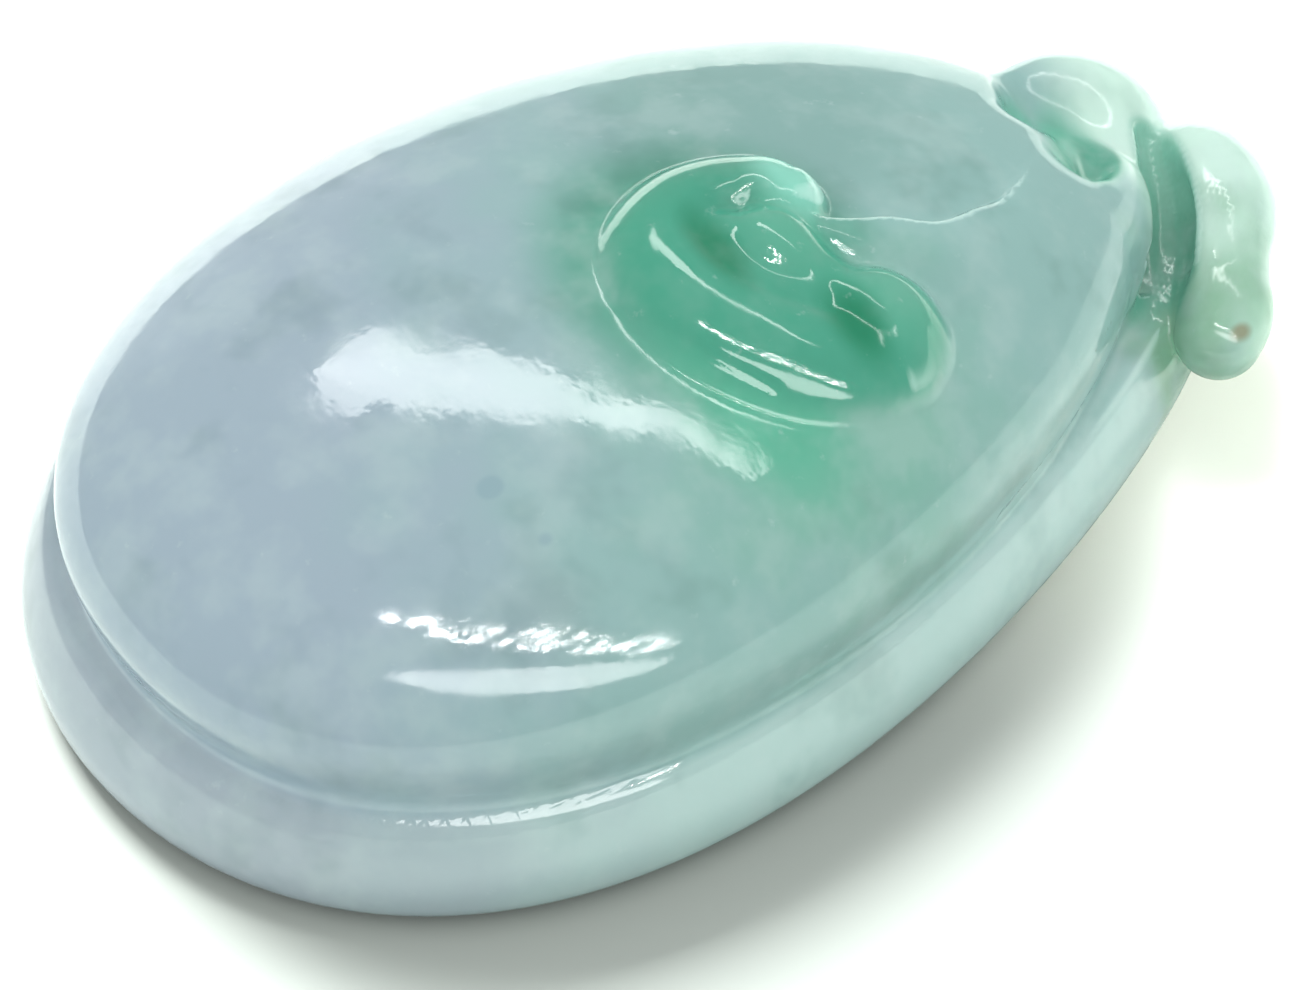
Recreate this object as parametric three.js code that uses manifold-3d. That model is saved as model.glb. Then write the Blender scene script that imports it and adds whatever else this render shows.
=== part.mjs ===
// Jadeite peach pendant: one polished stone, flat behind, lying on its back.
// A plump peach stands on a thinner leaf layer, a ruyi head with its flared stem is carved
// in relief on the front, and two rolled leaves close the end that the cord goes through.
// Millimetres. +Y runs along the pendant to the cord end, +X to its right, +Z out of its front.
import * as THREE from 'three';
import Module from 'manifold-3d';
import { mergeVertices } from 'three/addons/utils/BufferGeometryUtils.js';

// Egg outlines in plan: half widths and tapers to the right and to the left of the long axis
const LEAF = { length: 38, y: 0.5, power: 1, right: [11.4, 0.36], left: [12.0, 0.28] };
const PEACH = { length: 33.2, y: -0.7, power: 0.93, right: [10.75, 0.25], left: [11.7, 0.06] };

// Leaf layer: insets and heights of its profile, from the foot over the rim to the valley
const LEAF_HIGH = 3.4;
const LEAF_VALLEY = 2.8;
const LEAF_PROFILE = [
  [0.7, 0],
  [0.2, 0.35],
  [0, 1.3],
  [0.35, LEAF_HIGH - 0.8],
  [0.75, LEAF_HIGH - 0.2],
  [1.0, LEAF_HIGH],
  [1.4, LEAF_HIGH - 0.1],
  [2.4, LEAF_VALLEY],
];

// Peach: its widest level, its crown, and how far the sides tuck in below that level
const PEACH_LEVEL = 5.4;
const PEACH_CROWN = 10.7;
const PEACH_CROWN_Y = -1.0;
const PEACH_ROOT = 0.9;
const PEACH_TUCK = { sides: 0.35, wideEnd: 0.95 };

// Ruyi head and stem: places in plan, half widths, and heights above the peach
const BAND = {
  route: [
    [-0.9, 3.6], [-0.95, 1.8], [0.1, 0.2], [1.8, -0.3],
    [3.6, 0.15], [5.2, 1.35], [6.2, 3.0], [6.7, 4.5],
  ],
  halfWidth: [1.35, 1.45, 1.65, 1.8, 1.9, 1.85, 1.5, 1.0],
  height: [1.05, 1.1, 1.15, 1.15, 1.15, 1.1, 1.0, 0.8],
  power: 2,
};
const STEM = {
  route: [[2.6, 3.6], [3.2, 5.8], [3.9, 8.0], [3.6, 10.2], [2.6, 12.4]],
  halfWidth: [0.9, 1.1, 1.25, 1.6, 2.2],
  height: [0.8, 0.6, 0.5, 0.45, 0.4],
  power: 4,
};
const MOUNDS = [
  { name: 'left lobe', at: [0.25, 4.05], half: [1.6, 1.2], height: 1.05 },
  { name: 'right lobe', at: [5.1, 4.65], half: [1.5, 1.5], height: 1.2 },
  { name: 'bud', at: [2.1, 2.95], half: [1.15, 1.0], height: 1.35 },
  { name: 'heart', at: [2.6, 2.6], half: [2.9, 1.9], height: 0.7 },
];
const RELIEF_ROUNDING = 0.7;

// The field that carries the relief: its ends, its middle and half width at each end, its grid
const FIELD = { yLow: -2.8, yHigh: 12.9, low: [2.75, 5.7], high: [1.9, 3.0], columns: 34, rows: 48 };
const FIELD_SINK = 0.05;
const FIELD_DEPTH = 1.2;

// Cord end: the peach's neck, two rolled leaves and their root, the grooves, the cord's hole
const NECK = { centre: [0.1, 13.5, 3.8], half: [3.9, 3.6, 3.7] };
const SADDLE = { centre: [-0.6, 16.8, 3.6], half: [2.0, 1.5, 2.1] };
const LEAF_ROOT = { centre: [1.0, 16.4, 2.5], half: [4.2, 2.4, 1.8] };
const LEFT_LEAF = {
  route: [[-3.1, 13.8, 4.7], [-3.2, 15.7, 4.7], [-2.9, 17.4, 4.3], [-2.0, 18.7, 3.7]],
  radius: 1.8,
};
const RIGHT_LEAF = {
  route: [[-1.3, 18.8, 3.7], [0.9, 18.9, 4.0], [3.6, 17.5, 3.8], [6.3, 15.7, 3.2]],
  radius: 1.62,
};
const SCOOP = {
  route: [[-2.6, 15.0, 7.6], [-0.9, 15.8, 7.2], [0.9, 15.6, 7.0]],
  radius: 0.9,
};
const END_GROOVE = {
  route: [[-0.2, 17.7, 5.8], [1.5, 17.0, 5.0], [3.0, 15.9, 4.4], [4.4, 14.5, 4.0]],
  radius: 0.75,
};
const SIDE_GROOVE = {
  route: [[9.3, 4.6, 4.0], [8.0, 8.0, 4.0], [6.4, 11.2, 4.0], [4.1, 14.9, 4.0]],
  radius: 0.5,
};
const ROD_FULLNESS = 0.6;
const CORD_HOLE = { radius: 0.8, length: 11.4, x: -2.3, y: 15.5, z: 4.4, turn: 0.07 };

// Middle of the whole stone in plan, which becomes the origin
const MIDDLE = { x: -0.195, y: 0.97 };

const ROUND = { peach: [72, 26], leaf: 72, blob: [20, 12], rod: [12, 18], hole: 16, ridgeSpan: 10 };
const WELD = 1e-5;

const jadeite = new THREE.MeshStandardMaterial({ color: 0xa3c2c4, roughness: 0.12, metalness: 0 });

const wasm = await Module();
wasm.setup();

/** A geometry as a solid, with its shared vertices merged. */
function solid(geometry) {
  const bare = geometry.clone();
  for (const name of Object.keys(bare.attributes)) {
    if (name !== 'position') bare.deleteAttribute(name);
  }
  const merged = mergeVertices(bare, WELD);
  return new wasm.Manifold(new wasm.Mesh({
    numProp: 3,
    vertProperties: new Float32Array(merged.attributes.position.array),
    triVerts: new Uint32Array(merged.index.array),
  }));
}

/** A solid as a geometry again. */
function geometryOf(stone) {
  const mesh = stone.getMesh();
  const geometry = new THREE.BufferGeometry();
  geometry.setAttribute('position', new THREE.BufferAttribute(mesh.vertProperties, 3));
  geometry.setIndex(new THREE.BufferAttribute(mesh.triVerts, 1));
  geometry.computeVertexNormals();
  return geometry;
}

/** Moves every vertex of a geometry to place(vertex). */
function reshape(geometry, place) {
  const position = geometry.attributes.position;
  const vertex = new THREE.Vector3();
  for (let i = 0; i < position.count; i += 1) {
    vertex.fromBufferAttribute(position, i);
    position.setXYZ(i, ...place(vertex));
  }
  return geometry;
}

/** Point of an egg outline: angle 0 is the cord end, a quarter turn is +X. */
function eggPoint(egg, angle) {
  const side = Math.sin(angle);
  const [halfWidth, taper] = side > 0 ? egg.right : egg.left;
  const across = Math.sign(side) * Math.abs(side) ** egg.power * (1 - taper * Math.cos(angle));
  return [halfWidth * across, egg.y + egg.length / 2 * Math.cos(angle)];
}

/** The outline moved inwards by a constant distance. */
function eggInset(egg, angle, inset) {
  const step = 0.01;
  const [x, y] = eggPoint(egg, angle);
  const [xa, ya] = eggPoint(egg, angle - step);
  const [xb, yb] = eggPoint(egg, angle + step);
  const size = Math.hypot(xb - xa, yb - ya);
  return [x + (yb - ya) / size * inset, y - (xb - xa) / size * inset];
}

/** The leaf layer: its profile turned about a hub, then led along the egg outline. */
function leafLayer() {
  const hub = 6;
  const onAxis = 0.01;
  const profile = [new THREE.Vector2(0, 0)];
  for (const [inset, height] of LEAF_PROFILE) profile.push(new THREE.Vector2(hub - inset, height));
  profile.push(new THREE.Vector2(0, LEAF_VALLEY));
  const turned = new THREE.LatheGeometry(profile, ROUND.leaf);
  return reshape(turned, (v) => {
    const reach = Math.hypot(v.x, v.z);
    if (reach < onAxis) return [0, LEAF.y, v.y];
    const angle = Math.atan2(v.z, v.x);
    return [...eggInset(LEAF, angle, hub - reach), v.y];
  });
}

/** The peach: a ball stretched to its outline, its lower half drawn in towards its root. */
function peach() {
  const ball = new THREE.SphereGeometry(1, ...ROUND.peach);
  return reshape(ball, (v) => {
    const out = Math.hypot(v.x, v.z);
    const angle = Math.atan2(v.z, v.x);
    const [x, y] = eggPoint(PEACH, angle);
    const towardsWideEnd = Math.max(0, -Math.cos(angle)) ** 2;
    const tuck = THREE.MathUtils.lerp(PEACH_TUCK.sides, PEACH_TUCK.wideEnd, towardsWideEnd);
    const share = v.y > 0 ? out : out ** tuck;
    const rise = v.y > 0 ? PEACH_CROWN - PEACH_LEVEL : PEACH_LEVEL - PEACH_ROOT;
    return [x * share, PEACH_CROWN_Y + (y - PEACH_CROWN_Y) * share, PEACH_LEVEL + rise * v.y];
  });
}

/** Where the ray from the crown through a place in plan meets the peach's outline. */
function peachEdge(x, y) {
  const spread = 0.6;
  const halvings = 24;
  const heading = Math.atan2(x, y - PEACH_CROWN_Y);
  let low = heading - spread;
  let high = heading + spread;
  let edge = eggPoint(PEACH, heading);
  for (let i = 0; i < halvings; i += 1) {
    const middle = (low + high) / 2;
    edge = eggPoint(PEACH, middle);
    const found = Math.atan2(edge[0], edge[1] - PEACH_CROWN_Y);
    if (Math.sin(found - heading) > 0) high = middle;
    else low = middle;
  }
  return edge;
}

/** Height of the peach's upper side above a place in plan. */
function peachTop(x, y) {
  const [edgeX, edgeY] = peachEdge(x, y);
  const share = Math.hypot(x, y - PEACH_CROWN_Y) / Math.hypot(edgeX, edgeY - PEACH_CROWN_Y);
  const left = Math.sqrt(Math.max(0, 1 - share * share));
  return PEACH_LEVEL + (PEACH_CROWN - PEACH_LEVEL) * left;
}

/** Points along a ridge's route, with its half width and height there. */
function sampleRidge({ route, halfWidth, height }) {
  const curve = new THREE.CatmullRomCurve3(route.map(([x, y]) => new THREE.Vector3(x, y, 0)));
  const spans = route.length - 1;
  const count = spans * ROUND.ridgeSpan;
  const samples = [];
  for (let i = 0; i <= count; i += 1) {
    const place = i / count * spans;
    const before = Math.min(Math.floor(place), spans - 1);
    const part = place - before;
    const { x, y } = curve.getPoint(i / count);
    samples.push({
      x,
      y,
      halfWidth: THREE.MathUtils.lerp(halfWidth[before], halfWidth[before + 1], part),
      height: THREE.MathUtils.lerp(height[before], height[before + 1], part),
    });
  }
  return samples;
}

const ridges = [BAND, STEM].map((ridge) => ({ power: ridge.power, samples: sampleRidge(ridge) }));

/** Height of a rounded ridge at a place. A larger power makes its top flatter. */
function ridgeHeight({ samples, power }, x, y) {
  let best = 0;
  for (const { x: sx, y: sy, halfWidth, height } of samples) {
    const share = Math.hypot(x - sx, y - sy) / halfWidth;
    if (share < 1) best = Math.max(best, height * (1 - share ** power) ** RELIEF_ROUNDING);
  }
  return best;
}

/** Height of an oval mound at a place. */
function moundHeight({ at, half, height }, x, y) {
  const share = Math.hypot((x - at[0]) / half[0], (y - at[1]) / half[1]);
  return share < 1 ? height * (1 - share ** 2) ** RELIEF_ROUNDING : 0;
}

/** Height of the carved ruyi and its stem above the peach. */
function reliefHeight(x, y) {
  const ridgeHeights = ridges.map((ridge) => ridgeHeight(ridge, x, y));
  const moundHeights = MOUNDS.map((mound) => moundHeight(mound, x, y));
  return Math.max(...ridgeHeights, ...moundHeights);
}

/** The relief: a slab draped over the peach, carved on its upper face, narrower at the cord end. */
function relief() {
  const { yLow, yHigh, low, high, columns, rows } = FIELD;
  const slab = new THREE.BoxGeometry(2, 1, 1, columns, rows, 1);
  return reshape(slab, (v) => {
    const along = v.y + 0.5;
    const narrowing = Math.max(0, 2 * along - 1);
    const middle = THREE.MathUtils.lerp(low[0], high[0], narrowing);
    const x = middle + v.x * THREE.MathUtils.lerp(low[1], high[1], narrowing);
    const y = THREE.MathUtils.lerp(yLow, yHigh, along);
    const lift = v.z > 0 ? reliefHeight(x, y) - FIELD_SINK : -FIELD_DEPTH;
    return [x, y, peachTop(x, y) + lift];
  });
}

/** A ball stretched to three half sizes. */
function blob({ centre, half }) {
  const ball = new THREE.SphereGeometry(1, ...ROUND.blob);
  return reshape(ball, (v) => v.toArray().map((value, i) => centre[i] + half[i] * value));
}

/** A rod with rounded ends: a ball drawn out along a curve. */
function rod({ route, radius }) {
  const curve = new THREE.CatmullRomCurve3(route.map((place) => new THREE.Vector3(...place)));
  const ball = new THREE.SphereGeometry(1, ...ROUND.rod);
  const up = new THREE.Vector3(0, 0, 1);
  const onAxis = 1e-6;
  return reshape(ball, (v) => {
    const along = THREE.MathUtils.clamp((v.y + 1) / 2, 0, 1);
    const out = Math.hypot(v.x, v.z);
    const centre = curve.getPoint(along);
    const tangent = curve.getTangent(along);
    const side = new THREE.Vector3().crossVectors(tangent, up).normalize();
    const rise = new THREE.Vector3().crossVectors(side, tangent).normalize();
    const reach = out > onAxis ? radius * out ** ROD_FULLNESS / out : 0;
    return centre.addScaledVector(side, v.x * reach).addScaledVector(rise, v.z * reach).toArray();
  });
}

/** The hole for the cord, crosswise through the neck. */
function cordHole() {
  const { radius, length, x, y, z, turn } = CORD_HOLE;
  const bore = new THREE.CylinderGeometry(radius, radius, length, ROUND.hole);
  bore.rotateZ(Math.PI / 2 + turn);
  bore.translate(x, y, z);
  return bore;
}

/** A block under the back, which trims whatever hangs below it. */
function underBlock() {
  const side = 2 * LEAF.length;
  const depth = LEAF.length / 2;
  const block = new THREE.BoxGeometry(side, side, depth);
  block.translate(0, 0, -depth / 2);
  return block;
}

/** The whole stone. */
function pendant() {
  const grown = [
    peach(),
    relief(),
    blob(NECK),
    blob(SADDLE),
    blob(LEAF_ROOT),
    rod(LEFT_LEAF),
    rod(RIGHT_LEAF),
  ];
  const carved = [
    rod(SCOOP),
    rod(END_GROOVE),
    rod(SIDE_GROOVE),
    cordHole(),
    underBlock(),
  ];
  let stone = solid(leafLayer());
  for (const geometry of grown) stone = stone.add(solid(geometry));
  for (const geometry of carved) stone = stone.subtract(solid(geometry));
  const mesh = new THREE.Mesh(geometryOf(stone), jadeite);
  mesh.name = 'jadeite_pendant';
  mesh.position.set(-MIDDLE.x, -MIDDLE.y, 0);
  return mesh;
}

const model = new THREE.Group();
model.add(pendant());

export default model;
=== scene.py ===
"""Jadeite peach pendant: one polished stone on a white table, seen from above and from its right.

The stone is described in millimetres as a field that is below zero inside. It is sampled on a
grid, meshed, refined where the carving is fine, and drawn exactly onto the field's surface.
"""

import math

import bmesh
import bpy
import numpy as np
import openvdb
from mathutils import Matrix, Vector


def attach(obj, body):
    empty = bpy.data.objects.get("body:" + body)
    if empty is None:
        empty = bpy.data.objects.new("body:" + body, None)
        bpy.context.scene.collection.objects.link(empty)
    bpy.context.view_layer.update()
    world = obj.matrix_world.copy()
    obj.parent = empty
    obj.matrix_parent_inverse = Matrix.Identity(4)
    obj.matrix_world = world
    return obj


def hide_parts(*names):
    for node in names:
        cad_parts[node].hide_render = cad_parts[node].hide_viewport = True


MM = 0.001
# Keeps divisions away from zero
TINY = 1e-9
# Headings at which an egg outline is known
EGG_HEADINGS = 14401

# Egg outlines in plan: half widths and tapers to the right and to the left of the long axis
LEAF = dict(length=38.0, y=0.5, power=1.0, right=(11.4, 0.36), left=(12.0, 0.28))
PEACH = dict(length=33.2, y=-0.7, power=0.93, right=(10.75, 0.25), left=(11.7, 0.06))

# Leaf layer: its side leans in to the ridge, and the ridge falls to a valley against the peach
LEAF_SIDE_Z = 1.3
LEAF_FOOT_INSET = 0.7
RIDGE_Z = 3.4
RIDGE_INSET = 0.8
RIDGE_ROUNDING = 0.3
BACK_ROUNDING = 0.02
SIDE_LEAN = 1.6
# Fall of the ridge for each millimetre inwards, along the sides and at the wide end
VALLEY_SLOPE = (0.12, 0.02)
VALLEY_Z = 2.8

# Peach: widest level, crown, root, and how far its lower half draws in
PEACH_LEVEL = 5.4
PEACH_CROWN = 10.7
PEACH_CROWN_Y = -1.0
PEACH_ROOT = 0.9
PEACH_TUCK = (0.25, 0.6)
# Size of the fillet between peach and leaf layer, by heading in degrees from the cord end
PEACH_FILLET = ((40, 75, 105, 150, 172), (0.45, 0.55, 0.95, 1.1, 1.2))

# Headings round the peach, in degrees from the cord end, between which it comes to overhang
OVERHANG_STARTS = 146.0
OVERHANG_FULL = 172.0

# Heights of the slow and the quick waves that polishing leaves, and the levels where they set in
SLOW_WAVE = 0.007
QUICK_WAVE = 0.002
WAVES_FROM = (6.0, 8.0)

# Middle of the whole stone in plan, which is the frame's origin
MIDDLE = (-0.195, 0.97, 0.0)

# Grid that the field is first sampled on
GRID_LOW = (-13.2, -19.2, -0.72)
GRID_HIGH = (13.0, 21.6, 12.9)
PITCH = 0.25
# Zones of fine carving, as low and high corners: the ruyi and the cord end
FAR = 99.0
FINE_ZONES = (((-3.2, -2.8, 7.5), (8.3, 8.5, FAR)), ((-FAR, 11.0, 1.0), (FAR, FAR, FAR)))


def mix(a, b, t):
    return a + (b - a) * t


def step(low, high, v):
    """A smooth step from 0 at low to 1 at high; low may be above high."""
    t = np.clip((v - low) / (high - low), 0.0, 1.0)
    return t * t * (3.0 - 2.0 * t)


def smooth_min(a, b, k):
    """The lower of two fields, with a fillet of size k where they meet."""
    t = np.clip(0.5 + 0.5 * (b - a) / k, 0.0, 1.0)
    return mix(b, a, t) - k * t * (1.0 - t)


def smooth_max(a, b, k):
    return -smooth_min(-a, -b, k)


def spline(points, per_span=8):
    """Points along a smooth curve through the given ones; any number of columns."""
    p = np.array(points, float)
    p = np.vstack([2 * p[0] - p[1], p, 2 * p[-1] - p[-2]])
    t = np.arange(per_span)[:, None] / per_span
    rows = []
    for a, b, c, d in zip(p, p[1:], p[2:], p[3:]):
        rows.append(0.5 * (2 * b + (c - a) * t + (2 * a - 5 * b + 4 * c - d) * t ** 2
                           + (3 * b - 3 * c + d - a) * t ** 3))
    rows.append(p[-2:-1])
    return np.vstack(rows)


class Egg:
    """An egg outline, known by its distance from a centre on each heading."""

    def __init__(self, centre_y, length, y, power, right, left):
        turn = np.linspace(0.0, 2 * np.pi, EGG_HEADINGS)
        side, ahead = np.sin(turn), np.cos(turn)
        half = np.where(side > 0, right[0], left[0])
        taper = np.where(side > 0, right[1], left[1])
        x = half * np.sign(side) * np.abs(side) ** power * (1 - taper * ahead)
        dy = y + length / 2 * ahead - centre_y
        self.centre_y = centre_y
        self.heading = np.unwrap(np.arctan2(x, dy))
        self.radius = np.hypot(x, dy)
        self.lean = np.gradient(self.radius, self.heading) / self.radius

    def look(self, x, y):
        """Distance from the centre, the outline's distance there, and its lean."""
        heading = np.arctan2(x, y - self.centre_y) % (2 * np.pi)
        edge = np.interp(heading, self.heading, self.radius)
        lean = np.interp(heading, self.heading, self.lean)
        return np.hypot(x, y - self.centre_y), edge, lean


LEAF_EGG = Egg(LEAF["y"], **LEAF)
PEACH_EGG = Egg(PEACH_CROWN_Y, **PEACH)


def heading_of(x, y):
    """Degrees round the peach's crown, from the cord end either way."""
    return np.degrees(np.abs(np.arctan2(x, y - PEACH_CROWN_Y)))


def overhang(x, y):
    """1 at the wide end, where the peach hangs over the leaf layer, and 0 along the sides."""
    return step(OVERHANG_STARTS, OVERHANG_FULL, heading_of(x, y))


def waviness(x, y):
    """The slight unevenness that hand polishing leaves, in millimetres."""
    slow = np.sin(0.9 * x + 0.5 * y + 0.4) * np.sin(0.7 * y - 0.3 * x + 1.1)
    quick = np.sin(1.9 * x - 1.2 * y + 2.0) * np.sin(1.3 * x + 2.1 * y)
    return SLOW_WAVE * slow + QUICK_WAVE * quick


def peach(x, y, z):
    reach, edge, lean = PEACH_EGG.look(x, y)
    upper = z > PEACH_LEVEL
    rise = np.where(upper, PEACH_CROWN - PEACH_LEVEL, PEACH_LEVEL - PEACH_ROOT)
    v = (z - PEACH_LEVEL) / rise
    power = np.where(upper, 1.0, 1.0 / mix(*PEACH_TUCK, overhang(x, y)))
    share = np.maximum(reach / edge, 1e-4)
    out = share ** power
    grade = power * out / share / edge * np.sqrt(1 + lean ** 2)
    size = np.sqrt(out ** 2 + v ** 2) + TINY
    return (size - 1) * size / np.sqrt((out * grade) ** 2 + (v / rise) ** 2 + 1e-12)


def leaf_layer(x, y, z):
    reach, edge, lean = LEAF_EGG.look(x, y)
    inside = (edge - reach) / np.sqrt(1 + lean ** 2)
    low = np.clip((LEAF_SIDE_Z - z) / LEAF_SIDE_Z, 0, 1.5)
    high = np.maximum(0, (z - LEAF_SIDE_Z) / (RIDGE_Z - LEAF_SIDE_Z))
    side = LEAF_FOOT_INSET * low ** 3 + RIDGE_INSET * high ** SIDE_LEAN - inside
    fall = mix(*VALLEY_SLOPE, overhang(x, y))
    top = np.maximum(VALLEY_Z, RIDGE_Z - fall * (inside - RIDGE_INSET))
    return smooth_max(smooth_max(side, z - top, RIDGE_ROUNDING), -z, BACK_ROUNDING)


def ball(x, y, z, centre, half):
    px, py, pz = ((p - c) / h for p, c, h in zip((x, y, z), centre, half))
    size = np.sqrt(px ** 2 + py ** 2 + pz ** 2) + TINY
    grade = np.sqrt((px / half[0]) ** 2 + (py / half[1]) ** 2 + (pz / half[2]) ** 2) + TINY
    return (size - 1) * size / grade


def chain(x, y, z, balls):
    """Round bars between successive balls, each (x, y, z, radius)."""
    best = np.full(np.shape(x), 1e3)
    for (ax, ay, az, ar), (bx, by, bz, br) in zip(balls, balls[1:]):
        dx, dy, dz = bx - ax, by - ay, bz - az
        along = (x - ax) * dx + (y - ay) * dy + (z - az) * dz
        t = np.clip(along / (dx * dx + dy * dy + dz * dz), 0, 1)
        gap = np.sqrt((x - ax - dx * t) ** 2 + (y - ay - dy * t) ** 2 + (z - az - dz * t) ** 2)
        best = np.minimum(best, gap - mix(ar, br, t))
    return best


# The carved front, in plan. The band runs through (x, y, half width, height above the peach)
BAND = spline([
    (0.5, 4.55, 1.05, 1.0), (-0.6, 3.85, 1.4, 1.1), (-0.95, 2.0, 1.5, 1.15), (0.05, 0.3, 1.6, 1.2),
    (1.8, -0.2, 1.7, 1.2), (3.6, 0.25, 1.8, 1.2), (5.15, 1.45, 1.75, 1.2), (5.95, 3.0, 1.6, 1.1),
    (6.0, 4.3, 1.45, 1.0)])
# Roundness of the band's outer and inner slopes: a higher power is flatter on top
BAND_OUTER_POWER = 2.6
BAND_INNER_POWER = 4.0
# How far inwards the crest lies, and the shares of the length between which it comes back
BAND_CREST = 0.9
BAND_CREST_FADE = (0.6, 0.95)
# Points of the band over which each end turns round
BAND_END = 3
# Mounds: middle, half sizes, height
MOUNDS = [
    ((0.3, 4.2), (1.8, 1.4), 1.15),
    ((5.2, 4.6), (2.05, 2.0), 1.2),
    ((2.06, 3.15), (1.8, 1.45), 1.28),
]
MOUND_POWER = 2.6
MOUND_FILLET = 0.5
# The heart: the low floor inside the band, turned along the head
HEART = dict(at=(2.7, 2.2), half=(4.3, 2.3), turn=0.56, height=0.98, power=4.0)
HEART_FILLET = 0.3
# Grooves: route, half width, depth
GROOVES = [
    ([(0.55, 5.1), (0.5, 4.7), (0.55, 4.35), (0.75, 4.1)], 0.28, 0.07),
    ([(0.87, 1.3), (1.72, 1.75), (2.79, 2.2), (3.67, 2.79), (4.9, 3.25), (5.8, 3.8)], 0.6, 0.12),
    ([(4.1, 3.55), (4.9, 3.7), (5.6, 4.1), (5.75, 4.75), (5.3, 5.15), (4.75, 5.0)], 0.3, 0.06),
    ([(1.1, -2.0), (2.06, -1.75), (2.93, -1.35), (3.72, -1.0), (4.68, -0.45), (5.42, 0.06),
      (6.04, 0.55)], 0.1, 0.05),
    ([(-0.35, 6.34), (0.29, 6.73)], 0.1, 0.05),
    ([(5.26, 7.23), (5.8, 7.04)], 0.1, 0.05),
]
GROOVES = [(spline(route), half, depth) for route, half, depth in GROOVES]
# The stem: its crisp far edge, its width and height at places along it, and where it sets in
STEM_EDGE = spline([
    (0.9, 3.9), (1.67, 4.91), (2.01, 5.85), (2.2, 6.6), (2.75, 7.9), (2.6, 9.34), (2.44, 10.29),
    (1.72, 11.47), (1.04, 12.29), (-0.6, 14.15)])
STEM_WIDTH = ((4.0, 7.0, 12.0), (1.9, 2.8, 5.2))
STEM_HEIGHT = ((4.0, 6.0, 9.0, 11.0, 13.0), (0.8, 0.65, 0.5, 0.3, 0.0))
STEM_START = (3.6, 4.2)
# Half width of the step at its far edge, that edge's slant, and the share of the width that is flat
STEM_STEP = 0.2
STEM_SLANT = 0.9
STEM_FLAT = 0.25
STEM_FILLET = 0.2
# Fall of every form beyond its own edge, the fillet at the head's foot, and how far all is sunk
SKIRT = 0.55
FOOT_FILLET = 0.12
SINK = 0.05
# The heights are worked out on a grid in plan, and stand only high on the peach
MAP_LOW = (-4.5, -4.5)
MAP_HIGH = (9.8, 15.4)
MAP_PITCH = 0.12
MAP_MARGIN = 0.5
MAP_FLOOR = 6.0
# Heights of the head between which its colour takes over from the peach's
HEAD_FADE = (0.1, 0.75)


def route_gap(x, y, route):
    """Distance in plan to a route, and how far along it in points."""
    best = np.full(np.shape(x), 1e3)
    along = np.zeros(np.shape(x))
    for i, (a, b) in enumerate(zip(route, route[1:])):
        dx, dy = b[0] - a[0], b[1] - a[1]
        t = np.clip(((x - a[0]) * dx + (y - a[1]) * dy) / (dx * dx + dy * dy), 0, 1)
        gap = np.hypot(x - a[0] - dx * t, y - a[1] - dy * t)
        nearer = gap < best
        best = np.where(nearer, gap, best)
        along = np.where(nearer, i + t, along)
    return best, along


def swell(share, half, height, power):
    """A rounded section: height at share 0, nothing at 1, and a falling skirt beyond."""
    inner = height * (1 - np.minimum(share, 1) ** power)
    return inner - SKIRT * half * np.maximum(share - 1, 0)


def band(x, y):
    """The curled band, whose crest lies inwards of its middle, so that its outer slope is long."""
    gap, along = route_gap(x, y, BAND)
    points = np.arange(len(BAND))
    half = np.interp(along, points, BAND[:, 2])
    height = np.interp(along, points, BAND[:, 3])
    at = np.minimum(along.astype(int), len(BAND) - 2)
    a, b = BAND[at], BAND[at + 1]
    turn = (b[..., 1] - a[..., 1]) * (x - a[..., 0]) - (b[..., 0] - a[..., 0]) * (y - a[..., 1])
    out = gap * np.sign(turn)
    crest = BAND_CREST * (1 - step(*BAND_CREST_FADE, along / len(BAND)))
    outer = swell(np.maximum(out + crest, 0) / (half + crest), half, height, BAND_OUTER_POWER)
    inner = swell(gap / half, half, height, BAND_INNER_POWER)
    last = len(BAND) - 1
    between_ends = step(0, BAND_END, along) * step(last, last - BAND_END, along)
    both = np.where(out > 0, outer, np.minimum(outer, inner))
    return mix(inner, both, between_ends)


def heart(x, y):
    dx, dy = x - HEART["at"][0], y - HEART["at"][1]
    along = dx * math.cos(HEART["turn"]) + dy * math.sin(HEART["turn"])
    across = dy * math.cos(HEART["turn"]) - dx * math.sin(HEART["turn"])
    share = np.hypot(along / HEART["half"][0], across / HEART["half"][1])
    return swell(share, min(HEART["half"]), HEART["height"], HEART["power"])


def stem(x, y):
    inside = (x - np.interp(y, STEM_EDGE[:, 1], STEM_EDGE[:, 0])) * STEM_SLANT
    width = np.interp(y, *STEM_WIDTH)
    height = np.interp(y, *STEM_HEIGHT) * step(*STEM_START, y)
    return height * step(-STEM_STEP, STEM_STEP, inside) * (1 - step(STEM_FLAT, 1.0, inside / width))


def ruyi_head(x, y):
    """Height of the ruyi's head above the peach, with its fillet onto it."""
    h = band(x, y)
    h = smooth_max(h, heart(x, y), HEART_FILLET)
    for at, half, height in MOUNDS:
        share = np.hypot((x - at[0]) / half[0], (y - at[1]) / half[1])
        h = smooth_max(h, swell(share, min(half), height, MOUND_POWER), MOUND_FILLET)
    for route, half, depth in GROOVES:
        gap, _ = route_gap(x, y, route)
        h = h - depth * np.exp(-(gap / half) ** 2)
    return smooth_max(h, 0.0, FOOT_FILLET)


def ruyi(x, y):
    """Height of the whole carving, head and stem."""
    return np.maximum(smooth_max(ruyi_head(x, y), stem(x, y), STEM_FILLET) - SINK, 0)


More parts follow.
